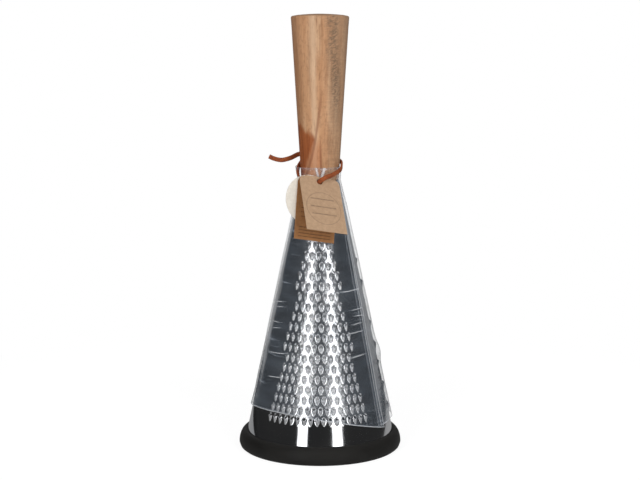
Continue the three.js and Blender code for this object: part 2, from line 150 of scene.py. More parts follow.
class Nodes:
    """Shader nodes of one material or world. An input takes a value or another node's output."""

    def __init__(self, tree, coordinates):
        """The place is at hand as a vector, along each axis, and as the turn round Z from the front."""
        self.tree = tree
        self.place = self.add("ShaderNodeTexCoord").outputs[coordinates]
        self.x, self.y, self.z = self.add("ShaderNodeSeparateXYZ", {"Vector": self.place}).outputs
        self.turn = self.calculate("ARCTAN2", self.x, self.times(self.y, -1))

    def feed(self, value, socket):
        if isinstance(value, bpy.types.NodeSocket):
            self.tree.links.new(value, socket)
        else:
            socket.default_value = value

    def add(self, kind, inputs=None, **settings):
        node = self.tree.nodes.new(kind)
        for key, value in settings.items():
            setattr(node, key, value)
        for key, value in (inputs or {}).items():
            self.feed(value, node.inputs[key])
        return node

    def mapped(self, setting, value, place):
        return self.add("ShaderNodeMapping", {"Vector": place, setting: value}).outputs["Vector"]

    def noise(self, scale, detail=4, roughness=0.5, place=None):
        inputs = {"Vector": place or self.place, "Scale": scale, "Detail": detail, "Roughness": roughness}
        return self.add("ShaderNodeTexNoise", inputs).outputs["Fac"]

    def streaks(self, scale, detail, roughness, place=None):
        """Noise with a scale of its own along each axis."""
        return self.noise(1, detail, roughness, self.mapped("Scale", scale, place or self.place))

    def ramp(self, source, *stops):
        node = self.add("ShaderNodeValToRGB", {"Fac": source})
        elements = node.color_ramp.elements
        while len(elements) < len(stops):
            elements.new(0.5)
        for element, (position, colour) in zip(elements, stops):
            element.position = position
            element.color = toned(colour)
        return node.outputs["Color"]

    def two_tone(self, noise, dark, light):
        return self.ramp(noise, (NOISE_LOW, dark), (NOISE_HIGH, light))

    def span(self, source, low, high, to_low=0.0, to_high=1.0):
        """A smooth step from one level to another, while a value goes from low to high."""
        inputs = {"Value": source, "From Min": low, "From Max": high, "To Min": to_low, "To Max": to_high}
        return self.add("ShaderNodeMapRange", inputs, interpolation_type="SMOOTHSTEP").outputs["Result"]

    def calculate(self, operation, first, second=0.0):
        return self.add("ShaderNodeMath", {0: first, 1: second}, operation=operation).outputs[0]

    def chain(self, operation, values):
        result = values[0]
        for value in values[1:]:
            result = self.calculate(operation, result, value)
        return result

    def plus(self, *values):
        return self.chain("ADD", values)

    def minus(self, first, second):
        return self.calculate("SUBTRACT", first, second)

    def times(self, *values):
        return self.chain("MULTIPLY", values)

    def most(self, *values):
        return self.chain("MAXIMUM", values)

    def size(self, value):
        return self.calculate("ABSOLUTE", value)

    def distance(self, first, second):
        square = self.plus(self.times(first, first), self.times(second, second))
        return self.calculate("SQRT", square)

    def slanted(self, value, at, start, slope):
        """A line that is at its start where a value is at a place, and slopes from there."""
        return self.plus(start, self.times(self.minus(at, value), slope))

    def near(self, value, line, outside, inside):
        """1 where a value is close to a line, 0 away from it."""
        return self.span(self.size(self.minus(value, line)), outside, inside)

    def mix(self, share, first, second):
        inputs = {0: share, 6: toned(first), 7: toned(second)}
        return self.add("ShaderNodeMix", inputs, data_type="RGBA").outputs[2]

    def blend(self, share, first, second):
        """A mix of two shaders."""
        return self.add("ShaderNodeMixShader", {"Fac": share, 1: first, 2: second}).outputs[0]

    def stored(self, name):
        """A value stored on the points of the mesh."""
        return self.add("ShaderNodeAttribute", attribute_name=name).outputs["Fac"]


class Paint(Nodes):
    """One material and its surface."""

    def __init__(self, name, roughness, metallic=0.0):
        self.material = bpy.data.materials.new(name)
        self.material.use_nodes = True
        super().__init__(self.material.node_tree, "Object")
        self.shader = self.tree.nodes["Principled BSDF"]
        self.surface = self.shader.outputs[0]
        self.set("Roughness", roughness)
        self.set("Metallic", metallic)

    def set(self, name, value):
        self.feed(value, self.shader.inputs[name])

    def colour(self, value):
        self.set("Base Color", toned(value))

    def roughen(self, noise, low, high):
        self.set("Roughness", self.span(noise, NOISE_LOW, NOISE_HIGH, low, high))

    def bump(self, height, strength, distance):
        inputs = {"Height": height, "Strength": strength, "Distance": distance}
        normal = self.add("ShaderNodeBump", inputs).outputs["Normal"]
        self.set("Normal", normal)
        return normal

    def show(self, shader):
        """Shows a shader in place of the material's plain surface."""
        self.feed(shader, self.tree.nodes["Material Output"].inputs["Surface"])


# Wood: places in metres, turns in radians from the front
def wood_body(paint, grain, stray):
    """Tan wood with flecks, marked across by the lathe, with a painted highlight down the front left and
    painted shade darkening the sides.
    """
    broad = paint.streaks((120, 120, 7), 3, 0.5)
    fleck = paint.streaks((560, 560, 330), 3, 0.6)
    chatter = paint.streaks((130, 130, 1300), 2, 0.5)
    body = paint.ramp(grain, (0.28, (142, 101, 69)), (0.5, (183, 142, 107)), (0.72, (207, 170, 135)))
    body = paint.mix(paint.span(broad, 0.4, 0.62, 0, 0.6), body, (192, 141, 100))
    body = paint.mix(paint.span(fleck, 0.48, 0.66, 0, 0.35), body, (142, 102, 72))
    # Painted highlight: a pale band down the front left of the handle, where the left soft box shines on it.
    painted_highlight = paint.near(paint.plus(paint.turn, paint.times(stray, 30)), -0.26, 0.2, 0.02)
    body = paint.mix(paint.times(painted_highlight, 0.55), body, (214, 181, 149))
    # Painted shade: darker towards the left side, where the light falls off.
    left_painted_shade = paint.span(paint.turn, -0.6, -1.3, 0, 0.65)
    body = paint.mix(left_painted_shade, body, (142, 93, 58))
    across = paint.times(paint.span(chatter, 0.42, 0.6), paint.span(paint.turn, -0.1, 0.5), 0.24)
    body = paint.mix(across, body, (140, 108, 82))
    right_side = paint.times(paint.span(paint.turn, 0.2, 0.8, 0, 0.35), paint.span(paint.z, 0.2, 0.235))
    body = paint.mix(right_side, body, (170, 142, 116))
    # Painted shade: darker towards the far right side, where the light falls off.
    far_right_painted_shade = paint.span(paint.turn, 0.95, 1.4, 0, 0.5)
    return paint.mix(far_right_painted_shade, body, (130, 98, 72))


def wood_streak(paint, body, stray):
    """A grey hatched streak that comes down the right and dies out."""
    middle = paint.plus(paint.slanted(paint.z, at=0.3, start=0.43, slope=4.8), paint.times(stray, 90))
    leaned = paint.mapped("Rotation", (0, radians(18), 0), paint.place)
    strokes = paint.streaks((430, 300, 900), 3, 0.6, leaned)
    hatch = paint.span(strokes, 0.36, 0.64, 0.22, 1)
    inside = paint.times(paint.near(paint.turn, middle, 0.42, 0.04), paint.span(paint.z, 0.222, 0.25))
    return paint.mix(paint.times(inside, hatch, 0.8), body, (106, 88, 71))


def wood_patch(paint, body, grain, stray, front):
    """A red patch at the lower left, under a slanting edge and narrowing downwards, in pinkish wood."""
    right_edge = paint.slanted(paint.z, at=0.2215, start=-0.0012, slope=-0.303)
    top_edge = paint.slanted(paint.x, at=-0.0058, start=0.2192, slope=0.85)
    left_of_edge = paint.minus(paint.plus(right_edge, stray), paint.x)
    below_edge = paint.minus(paint.plus(top_edge, paint.times(stray, 2)), paint.z)
    inside = paint.times(paint.span(left_of_edge, -0.001, 0.0022), paint.span(below_edge, -0.002, 0.003))
    pink = paint.times(paint.span(paint.x, 0.002, -0.001), paint.span(paint.z, 0.22, 0.208), front, 0.55)
    body = paint.mix(pink, body, (180, 115, 76))
    heart = paint.two_tone(grain, (108, 50, 17), (166, 90, 40))
    return paint.mix(paint.times(inside, front, 0.94), body, heart)


def wood_veins(paint, body, stray, front):
    """One vein follows the patch's edge, the other runs down to the neck."""
    below = paint.most(paint.minus(0.2487, paint.z), 0)
    curve = paint.times(below, paint.plus(paint.times(below, 2.6), 0.02))
    first_line = paint.plus(paint.minus(0.0004, curve), paint.times(stray, 0.4))
    first = paint.times(paint.near(paint.x, first_line, 0.0016, 0.0002), paint.span(paint.z, 0.262, 0.235))
    second_line = paint.slanted(paint.z, at=0.2133, start=0.0002, slope=0.032)
    second = paint.times(paint.near(paint.x, second_line, 0.0011, 0.0003), paint.span(paint.z, 0.218, 0.206))
    return paint.mix(paint.times(paint.most(first, second), front, 0.52), body, (112, 58, 30))


def wood_paint():
    """Turned wood: tan, with a streak, a patch of heartwood, two veins, pores, and rings on its end."""
    paint = Paint("turned_wood", roughness=0.5)
    grain = paint.streaks((420, 420, 20), 6, 0.65)
    mottle = paint.streaks((170, 170, 60), 4, 0.6)
    pores = paint.streaks((1300, 1300, 90), 2, 0.5)
    stray = paint.times(paint.minus(mottle, 0.5), 0.005)
    front = paint.span(paint.y, 0.006, -0.003)
    body = wood_body(paint, grain, stray)
    body = wood_streak(paint, body, stray)
    body = wood_patch(paint, body, grain, stray, front)
    body = wood_veins(paint, body, stray, front)
    body = paint.mix(paint.span(pores, 0.6, 0.72, 0, 0.4), body, (122, 82, 54))
    inputs = {"Vector": paint.place, "Scale": 90, "Distortion": 2.5, "Detail": 2}
    waves = paint.add("ShaderNodeTexWave", inputs, wave_type="RINGS", rings_direction="Z").outputs["Fac"]
    end_grain = paint.ramp(waves, (0.2, (146, 104, 70)), (0.8, (180, 138, 101)))
    on_top = paint.span(paint.z, RIM_HEIGHT * MM - 0.0006, RIM_HEIGHT * MM)
    paint.colour(paint.mix(on_top, body, end_grain))
    paint.roughen(grain, 0.42, 0.6)
    paint.bump(grain, 0.25, 0.0004)
    return paint.material


def steel_paint():
    """Polished steel: a mirror at the foot, duller above where the sheet is punched."""
    paint = Paint("polished_steel", roughness=0.07, metallic=1)
    cloud = paint.noise(30, 3)
    paint.colour(paint.two_tone(cloud, (214, 216, 220), (230, 231, 233)))
    punched = paint.span(paint.z, 0.0245, 0.034, 0.05, 0.2)
    paint.set("Roughness", paint.plus(punched, paint.span(cloud, NOISE_LOW, NOISE_HIGH, 0, 0.05)))
    paint.bump(paint.noise(45, 2), 0.05, 0.0006)
    return paint.material


def zinc_paint():
    paint = Paint("zinc_plate", roughness=0.35, metallic=1)
    speckle = paint.noise(600, 3)
    paint.colour(paint.two_tone(speckle, (160, 162, 165), (196, 197, 199)))
    paint.roughen(speckle, 0.28, 0.42)
    paint.bump(speckle, 0.1, 0.0002)
    return paint.material


def rubber_paint():
    paint = Paint("black_rubber", roughness=0.6)
    paint.set("Specular IOR Level", 0.3)
    cloud = paint.noise(40, 3)
    paint.colour(paint.two_tone(cloud, (20, 19, 18), (29, 28, 26)))
    paint.roughen(cloud, 0.5, 0.66)
    paint.bump(paint.noise(900, 4), 0.15, 0.0002)
    return paint.material


def leather_paint():
    paint = Paint("leather", roughness=0.7)
    fibre = paint.noise(700, 5, 0.65)
    worn = paint.span(paint.noise(120, 3), 0.4, 0.65, 0, 0.5)
    brown = paint.two_tone(fibre, (100, 44, 20), (160, 81, 38))
    paint.colour(paint.mix(worn, brown, (172, 92, 46)))
    paint.roughen(fibre, 0.6, 0.8)
    paint.bump(fibre, 0.4, 0.0004)
    return paint.material


def card_paint(name, dark, light):
    """Uncoated card, for all the tags."""
    paint = Paint(name, roughness=0.85)
    pulp = paint.noise(420, 6, 0.7)
    paint.roughen(pulp, 0.78, 0.92)
    paint.bump(paint.streaks((900, 250, 250), 4, 0.6), 0.2, 0.0002)
    return paint, paint.two_tone(pulp, dark, light)


def inked(paint, value, line, thick):
    """1 on a printed line of a thickness in millimetres, with soft edges."""
    return paint.near(value, line, thick / 2 + 0.15, thick / 2 - 0.1)


def kraft_paint(name, dark, light, rules=(), rings=()):
    """Kraft card with plain rules and thin rings printed on its front."""
    paint, paper = card_paint(name, dark, light)
    across = paint.stored("across")
    up = paint.stored("up")
    front = paint.span(paint.stored("front"), 0.9, 1)
    worn = paint.span(paint.noise(900, 3), 0.3, 0.6, 0.5, 1)
    printed = 0.0
    for height, half, thick, ink in rules:
        length = paint.near(across, 0.0, half + 0.2, half)
        printed = paint.most(printed, paint.times(inked(paint, up, height, thick), length, ink))
    for middle, radius, thick, ink in rings:
        reach = paint.distance(across, paint.minus(up, middle))
        printed = paint.most(printed, paint.times(inked(paint, reach, radius, thick), ink))
    paint.colour(paint.mix(paint.times(printed, front, worn), paper, (52, 38, 28)))
    return paint.material


def cream_paint():
    paint, paper = card_paint("cream_card", (220, 213, 201), (236, 230, 219))
    paint.colour(paper)
    return paint.material


# Painted glints along creases in the film: the middle's turn and height, half the length in degrees, and the
# slope
FILM_CREASE_GLINTS = [
    (46, 114, 24, 0.01), (50, 101, 12, 0.03), (52, 96, 10, -0.02),
    (43, 85.5, 16, 0.05), (46, 91, 10, 0.04), (40, 69.5, 14, 0.08),
    (-62, 105, 14, 0.06), (-58, 102, 10, 0.09), (-62, 91, 12, 0.05),
    (-58, 87.5, 10, 0.09), (-50, 71, 18, 0.08), (-46, 55, 12, 0.06),
]


def film_crease_glints(paint, wave):
    """1 along the painted crease glints, 0 beside them."""
    crease_glint = 0.0
    for middle, height, half, slope in FILM_CREASE_GLINTS:
        away = paint.minus(paint.turn, radians(middle))
        rise = paint.times(away, to_degrees(slope * MM))
        level = paint.minus(paint.plus(paint.z, wave), rise)
        line = paint.near(level, height * MM, 0.00045, 0.00005)
        length = paint.near(away, 0.0, radians(half), radians(half * 0.4))
        crease_glint = paint.most(crease_glint, paint.times(line, length))
    return crease_glint


def film_paint():
    """Clear film: see-through, with a shine that grows at its sides, painted glints on its creases, painted
    highlights along its edges, and a thin veil painted as a faint glow.
    """
    paint = Paint("clear_film", roughness=0.3)
    wrinkle = paint.streaks((40, 40, 150), 3, 0.5)
    # Painted glints: short pale dashes in groups at the film's sides.
    glint_dashes = paint.span(paint.streaks((34, 34, 900), 2, 0.5), 0.6, 0.72)
    groups = paint.span(paint.streaks((24, 24, 26), 2, 0.5), 0.5, 0.62)
    beside = paint.span(paint.size(paint.turn), 0.5, 0.8)
    # Painted highlight along the film's edges.
    edge = paint.stored("edge")
    # Painted glints on the V of creases over the neck.
    pinch_glint = paint.stored("pinch_glint")
    crease_glint = film_crease_glints(paint, paint.times(paint.minus(wrinkle, 0.5), 0.003))
    # The painted glints and edge highlights are paler than the rest of the film.
    paint.colour(paint.mix(paint.most(crease_glint, edge, pinch_glint), (196, 206, 218), (238, 239, 240)))
    normal = paint.bump(wrinkle, 0.5, 0.002)
    clear = paint.add("ShaderNodeBsdfTransparent").outputs[0]
    gloss = paint.add("ShaderNodeBsdfGlossy", {"Roughness": 0.09, "Normal": normal}).outputs[0]
    facing = paint.add("ShaderNodeLayerWeight", {"Blend": 0.5}).outputs["Facing"]
    shine = paint.plus(paint.times(facing, facing, facing, facing, 0.5), 0.03)
    # The pale diffuse share is all painted light: glints on dashes, creases and the V over the neck, and
    # highlights along the edges.
    glint_share = paint.plus(
        paint.times(glint_dashes, groups, beside, 0.2),
        paint.times(crease_glint, 0.3),
        paint.times(edge, 0.45),
        paint.times(pinch_glint, 0.5),
    )
    with_glints = paint.blend(glint_share, paint.blend(shine, clear, gloss), paint.surface)
    # The veil is a painted glow: a very faint even light in place of the film's thin scattering, because
    # such thin scattering renders as grain.
    strength = paint.span(wrinkle, 0.35, 0.7, 0.0085, 0.0155)
    veil_glow = paint.add("ShaderNodeEmission", {"Color": toned((214, 233, 255)), "Strength": strength})
    paint.show(paint.add("ShaderNodeAddShader", {0: with_glints, 1: veil_glow.outputs[0]}).outputs[0])
    return paint.material


# Plain rules and a ring: height, half length or radius, and thickness in millimetres, then strength
COVER_RULES = [(-14.2, 8.5, 0.9, 0.45), (-20.4, 9.5, 0.9, 0.45), (-26.2, 9, 0.9, 0.45)]
COVER_RINGS = [(-21.5, 12.6, 0.5, 0.32)]
BACK_RULES = [(-31.1 - 2.1 * k, 12, 0.6, 0.65) for k in range(4)]
BACK_RULES += [(-9 - 3 * k, 11, 0.6, 0.6) for k in range(6)]
KRAFT_DARK = (170, 139, 110)
KRAFT_LIGHT = (192, 160, 130)

# Materials
wood = wood_paint()
steel = steel_paint()
zinc = zinc_paint()
rubber = rubber_paint()
leather = leather_paint()
film = film_paint()
cream = cream_paint()
# The back leaf is the same card as the front leaf; its darker colour is painted shade from the front leaf
# over it.
kraft_back_painted_shade = kraft_paint("kraft_back_painted_shade", (142, 97, 58), (164, 117, 75), BACK_RULES)
kraft_front = kraft_paint("kraft_front", KRAFT_DARK, KRAFT_LIGHT, COVER_RULES, COVER_RINGS)
kraft_fold = kraft_paint("kraft_fold", KRAFT_DARK, KRAFT_LIGHT)

# Meshes
SEGMENTS = 144
ROUTE_STEPS = 12
STRIP_SIDES = 12
SQUARENESS = 0.6


def add_object(name, data):
    added = bpy.data.objects.new(name, data)
    bpy.context.scene.collection.objects.link(added)
    return added


def add_mesh(name, points, faces, material, body):
    mesh = bpy.data.meshes.new(name)
    mesh.from_pydata([Vector(point) * MM for point in points], [], faces)
    mesh.polygons.foreach_set("use_smooth", [True] * len(mesh.polygons))
    mesh.materials.append(material)
    mesh.update()
    piece = add_object(name, mesh)
    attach(piece, body)
    return piece


def keep_edges(piece, degrees):
    """Smooth shading that keeps the edges sharper than an angle."""
    piece.data.set_sharp_from_angle(angle=radians(degrees))


def store(piece, name, values):
    """Keeps a value on each point of a mesh for its paint."""
    piece.data.attributes.new(name, "FLOAT", "POINT").data.foreach_set("value", values)


def bands(rings):
    """Faces between each ring of points and the next. A ring may be one point, many times over."""
    faces = []
    for low, high in zip(rings, rings[1:]):
        corners = zip(low, low[1:] + low[:1], high[1:] + high[:1], high)
        faces += [tuple(dict.fromkeys(face)) for face in corners]
    return faces


def closing_faces(faces, count):
    """The far side of a sheet, whose points follow after a count, and the faces along its cut edges."""
    edges = dict.fromkeys(edge for face in faces for edge in zip(face, face[1:] + face[:1]))
    inside = [tuple(count + k for k in reversed(face)) for face in faces]
    cut = [(b, a, count + a, count + b) for a, b in edges if (b, a) not in edges]
    return inside, cut


def smoothstep(low, high, value):
    share = max(0, min(1, (value - low) / (high - low)))
    return share * share * (3 - 2 * share)


def signed_power(value, power):
    return copysign(abs(value) ** power, value)


def hump(away, width):
    """A soft bump: 1 in its middle, dying out over a width."""
    return exp(-((away / width) ** 2))


def at_turn(degrees, radius, z):
    turn = radians(degrees)
    return Vector((radius * sin(turn), -radius * cos(turn), z))


def circle(radius, count, drop=0.0):
    angles = [tau * k / count for k in range(count)]
    return [(radius * cos(angle), radius * sin(angle) - drop) for angle in angles]


def quarter(centre, across, up, steps):
    """A quarter of an ellipse in section, from its outermost point to its highest."""
    angles = [pi / 2 * k / steps for k in range(steps + 1)]
    return [(centre[0] + across * cos(angle), centre[1] + up * sin(angle)) for angle in angles]


def turned(name, profile, material, body):
    """A turning about Z. The profile runs anticlockwise in section; points on the axis become one."""
    points = []
    rings = []
    for radius, z in profile:
        count = SEGMENTS if radius else 1
        rings.append([len(points) + k % count for k in range(SEGMENTS)])
        points += [at_turn(360 * k / SEGMENTS, radius, z) for k in range(count)]
    return add_mesh(name, points, bands(rings), material, body)


def smooth_route(points):
    """A smooth line through the points of a route."""
    route = [Vector(point) for point in points]
    route = [2 * route[0] - route[1], *route, 2 * route[-1] - route[-2]]
    line = []
    for before, start, stop, after in zip(route, route[1:], route[2:], route[3:]):
        first = (start - before).length ** 0.5
        middle = (stop - start).length ** 0.5
        last = (after - stop).length ** 0.5
        across = (stop - start) / middle
        leave = ((start - before) / first - (stop - before) / (first + middle) + across) * middle
        reach = (across - (after - start) / (middle + last) + (after - stop) / last) * middle
        for k in range(ROUTE_STEPS):
            t = k / ROUTE_STEPS
            cube = (2 * start - 2 * stop + leave + reach) * t**3
            square = (3 * stop - 3 * start - 2 * leave - reach) * t**2
            line.append(cube + square + leave * t + start)
    line.append(route[-2])
    return line


def strip(name, line, facing, material, body, width=LACE_WIDTH, thickness=LACE_THICKNESS):
    """A flat lace with rounded edges along a line."""
    points = []
    rings = []
    facing = Vector(facing)
    for i, centre in enumerate(line):
        rings.append([len(points) + k for k in range(STRIP_SIDES)])
        along = (line[min(i + 1, len(line) - 1)] - line[max(i - 1, 0)]).normalized()
        facing = (facing - along * facing.dot(along)).normalized()
        side = along.cross(facing)
        for k in range(STRIP_SIDES):
            angle = tau * (k + 0.5) / STRIP_SIDES
            across = signed_power(sin(angle), SQUARENESS) * width / 2
            out = signed_power(cos(angle), SQUARENESS) * thickness / 2
            points.append(centre + side * across + facing * out)
    ends = [rings[0][::-1], rings[-1]]
    return add_mesh(name, points, bands(rings) + ends, material, body)


# The rolled sheet laid flat: a sector round the cone's apex
def flat_point(turn, z):
    reach = (APEX_HEIGHT - z) / cos(CONE_ANGLE)
    angle = turn * sin(CONE_ANGLE)
    return Vector((reach * sin(angle), -reach * cos(angle)))


def on_cone(flat):
    """The turn and the height on the cone of a point of the flat sheet."""
    turn = atan2(flat.x, -flat.y) / sin(CONE_ANGLE)
    return turn, APEX_HEIGHT - flat.length * cos(CONE_ANGLE)


def rolled(flat, height):
    """A point's place at a height off the rolled sheet, and the sheet's outward normal there."""
    turn, z = on_cone(flat)
    radial = Vector((sin(turn), -cos(turn), 0))
    normal = radial * cos(CONE_ANGLE) + Vector((0, 0, sin(CONE_ANGLE)))
    return radial * cone_radius(z) + Vector((0, 0, z)) + normal * height, normal


class Tooth:
    """A punched scoop on the flat sheet: a dimple whose hole has a raised lower lip."""

    AROUND = 24
    RINGS = 5
    HALO = 0.6
    TAPER = 0.28
    PRESSED_IN = 0.25
    LIP_FADE = (0.05, 0.8)
    ROUND = 2

    def __init__(self, turn, z, half, above, below, hole, lip, square=ROUND):
        self.centre = flat_point(turn, z)
        self.up = -self.centre.normalized()
        self.side = Vector((self.up.y, -self.up.x))
        self.half, self.above, self.below = half, above, below
        self.hole, self.lip, self.square = hole, lip, square

    def place(self, x, y):
        return self.centre + self.side * x + self.up * y

    def angles(self):
        return [tau * i / self.AROUND for i in range(self.AROUND)]

    def halo(self):
        """Points of the sheet just outside the dimple, where it is flat again."""
        row = []
        for angle in self.angles():
            reach = self.above if sin(angle) > 0 else self.below
            across = (self.half + self.HALO) * cos(angle)
            row.append(self.place(across, (reach + self.HALO) * sin(angle)))
        return row

    def ring(self, share):
        """A ring of (flat point, height), from the dimple's edge at 0 to the hole's edge at 1."""
        hole_half, hole_above, hole_below = self.hole
        row = []
        for angle in self.angles():
            across = signed_power(cos(angle), 2 / self.square)
            up = signed_power(sin(angle), 2 / self.square)
            narrow = 1 - self.TAPER * up**2 if up < 0 and self.square == self.ROUND else 1
            outer_y = up * (self.above if up > 0 else self.below)
            inner_y = up * (hole_above if up > 0 else hole_below)
            x = across * (self.half * narrow * (1 - share) + hole_half * share)
            y = outer_y * (1 - share) + inner_y * share
            lower = smoothstep(*self.LIP_FADE, (1 - up) / 2)
            rise = (1 + self.PRESSED_IN) * lower - self.PRESSED_IN
            row.append((self.place(x, y), self.lip * rise * smoothstep(0, 1, share)))
        return row

    def rings(self):
        return [self.ring(k / self.RINGS) for k in range(self.RINGS + 1)]


# Teeth: half the width, the reach above and below the middle, the same of the hole, and the lip's rise
MEDIUM_TOOTH = dict(half=1.48, above=1.9, below=4.7, hole=(0.9, 1.3, 0.85), lip=1.1)
COARSE_TOOTH = dict(half=3.2, above=4, below=8.8, hole=(2.3, 2.8, 1.4), lip=1.3)
SLICER_TOOTH = dict(above=3.2, below=7, lip=1.4, square=5)
SLICER_HALF = 15
SLICER_HOLE_INSET = 2.5
SLICER_HOLE = (1.8, 0.6)


def face_teeth(counts, pitch, row_pitch, middle, shape):
    teeth = []
    for row, count in enumerate(counts):
        z = FIRST_ROW_HEIGHT + row * row_pitch * cos(CONE_ANGLE)
        for k in range(count):
            arc = (k - (count - 1) / 2) * pitch
            teeth.append(Tooth(radians(middle) + arc / cone_radius(z), z, **shape))
    return teeth


def all_teeth():
    teeth = face_teeth(MEDIUM_COUNTS, MEDIUM_PITCH, MEDIUM_ROW_PITCH, FRONT_TURN, MEDIUM_TOOTH)
    teeth += face_teeth(COARSE_COUNTS, COARSE_PITCH, COARSE_ROW_PITCH, COARSE_TURN, COARSE_TOOTH)
    for row, share in enumerate(SLICER_WIDTHS):
        half = SLICER_HALF * share
        hole = (half - SLICER_HOLE_INSET, *SLICER_HOLE)
        z = FIRST_ROW_HEIGHT + SLICER_ROW_PITCH * row
        teeth.append(Tooth(radians(SLICER_TURN), z, half=half, hole=hole, **SLICER_TOOTH))
    return teeth


# The cone: the flat sheet cut round every tooth, with the teeth added, rolled up and thickened
SHEET_COLUMNS = 180
SHEET_ROWS = 60
INSIDE_ONLY = 1
JOIN_WITHIN = 1e-5
RIM_BEND = 0.35
NO_AREA = 1e-9


def lap_height(spot):
    """How far a point of the flat sheet is raised by the lap of the seam."""
    turn, z = on_cone(spot)
    from_end = (pi - turn) * cone_radius(z) + SEAM_WIDTH / 2
    return SEAM_STEP * smoothstep(SEAM_WIDTH + SEAM_FADE, SEAM_WIDTH, from_end)


def sheet_grid():
    """Points of the flat sheet, and the loop of those along its edge."""
    flat = []
    for i in range(SHEET_COLUMNS + 1):
        for j in range(SHEET_ROWS + 1):
            z = CONE_FOOT_HEIGHT + (CONE_TOP_HEIGHT - CONE_FOOT_HEIGHT) * j / SHEET_ROWS
            end = pi + SEAM_WIDTH / 2 / cone_radius(z)
            flat.append(flat_point(end * (2 * i / SHEET_COLUMNS - 1), z))
    bottom = range(0, len(flat), SHEET_ROWS + 1)
    top = range(SHEET_ROWS, len(flat), SHEET_ROWS + 1)
    right = range(bottom[-1] + 1, top[-1])
    left = range(1, SHEET_ROWS)
    return flat, [*bottom, *right, *reversed(top), *reversed(left)]


def cone_sheet(material):
    """The sheet's outside: triangles between the teeth, and rings of faces down into each tooth."""
    flat, edge_loop = sheet_grid()
    loops = [edge_loop]
    dimples = []
    for tooth in all_teeth():
        rings = tooth.rings()
        outline = range(len(flat), len(flat) + len(rings[0]))
        loops.append(list(outline))
        flat += [spot for spot, height in rings[0]]
        dimples.append((outline, rings[1:]))
        flat += tooth.halo()
    found = delaunay_2d_cdt(flat, [], loops, INSIDE_ONLY, JOIN_WITHIN)
    spots, triangles, origins, sources = found[0], found[2], found[3], found[5]
    number_of = {given: number for number, group in enumerate(origins) for given in group}
    points = []
    normals = []
    for spot in spots:
        place, normal = rolled(spot, lap_height(spot))
        points.append(place)
        normals.append(normal)
    faces = [tuple(corners) for corners, source in zip(triangles, sources) if not any(source)]
    sheet_faces = len(faces)
    for outline, rings in dimples:
        rows = [[number_of[given] for given in outline]]
        for ring in rings:
            rows.append([len(points) + k for k in range(len(ring))])
            points += [rolled(spot, height)[0] for spot, height in ring]
            normals += [None] * len(ring)
        faces += bands(rows)
    used = sorted({k for face in faces for k in face})
    place_of = {old: new for new, old in enumerate(used)}
    points = [points[k] for k in used]
    normals = [normals[k] for k in used]
    faces = [tuple(place_of[k] for k in face) for face in faces]
    return build_sheet(points, normals, faces, sheet_faces, material)


def build_sheet(points, normals, faces, sheet_faces, material):
    """Gives the rolled sheet its inside and its cut edges, and the exact normals of a cone."""
    sums = [Vector() for point in points]
    for face in faces[sheet_faces:]:
        a, b, c = (points[k] for k in face[:3])
        spread = (b - a).cross(c - a)
        for k in face:
            sums[k] += spread
    outward = []
    for normal, spread in zip(normals, sums):
        slope = spread.normalized()
        if normal is None:
            outward.append(slope)
        elif spread.length:
            outward.append(normal.lerp(slope, RIM_BEND).normalized())
        else:
            outward.append(normal)
    count = len(points)
    points = points + [point - outward[k] * SHEET for k, point in enumerate(points)]
    inside, cut = closing_faces(faces, count)
    piece = add_mesh("cone_steel", points, faces + inside + cut, material, "grater")
    shading = [outward[k] for face in faces for k in face]
    shading += [-outward[k - count] for face in inside for k in face]
    for face in cut:
        a, b, c = (points[k] for k in face[:3])
        normal = (b - a).cross(c - a)
        normal = normal.normalized() if normal.length > NO_AREA else Vector((0, 0, 1))
        shading += [normal] * len(face)
    piece.data.normals_split_custom_set(shading)
    return piece


# The film: a thin sheet round the cone, slack over the grating faces, with a slanting lower edge
FILM_COLUMNS = 210
FILM_ROWS = 70
SIDE_STEPS = (0, 0.5, 1)
SIDE_BAND = 2
FOOT_LIFTS = [0, 0.4, 0.9, *(1.6 + 3 * k for k in range(7))]
INNER_FADE = (radians(-170), radians(-230))
FILM_GAP = 0.4
NECK_GAP = 1
NECK_FOOT = 165
LAP_RISE = 0.6
LAP_START = 46
BROAD_RIPPLE = 0.16
FINE_RIPPLE = 0.09
CALM_AT_SIDES = 0.6
LOOSE_FOOT = 174
LOOSE_LEFT = 3
LOOSE_WAVE = 0.4
RIGHT_BULGE = 1.6
BULGE_HEIGHT = 68
LEFT_TIP = 0.8
# The painted highlight along the film's edges: its width in millimetres, and its strength at the top
PALE_EDGE = 0.7
PALE_TOP = 0.16
PINCH_FOOT = (189, 191)
PINCH_TOP = (199, 196)

# Slack over the faces and the seam: the middle, half the width and the fade in degrees, and the slack
FILM_SLACK = [
    (FRONT_TURN, 46, 28, 1.05),
    (COARSE_TURN, 27, 12, 1.4),
    (SLICER_TURN, 21, 12, 1.35),
    (180, 8, 12, 0.8),
]

# Painted glints on two creases in a V over the neck: a turn, its height, degrees for each millimetre down,
# two widths
FILM_PINCH_GLINTS = [(-12, 198, 1, 4, 1), (11, 196, -1.2, 5, 1.5)]


def film_foot(turn):
    slant = FILM_EDGE_SLANT * cos(turn - radians(FILM_HIGH_POINT))
    inner_end = smoothstep(*INNER_FADE, turn)
    foot = (FILM_EDGE_HEIGHT + slant) * (1 - inner_end) + FILM_INNER_FOOT * inner_end
    return max(RING_HEIGHT + FILM_ABOVE_RING, foot)


def degrees_from(turn, middle):
    return to_degrees(remainder(turn - radians(middle), tau))


def bell(turn, middle, width):
    """A bump round one direction, in degrees."""
    return hump(degrees_from(turn, middle), width)


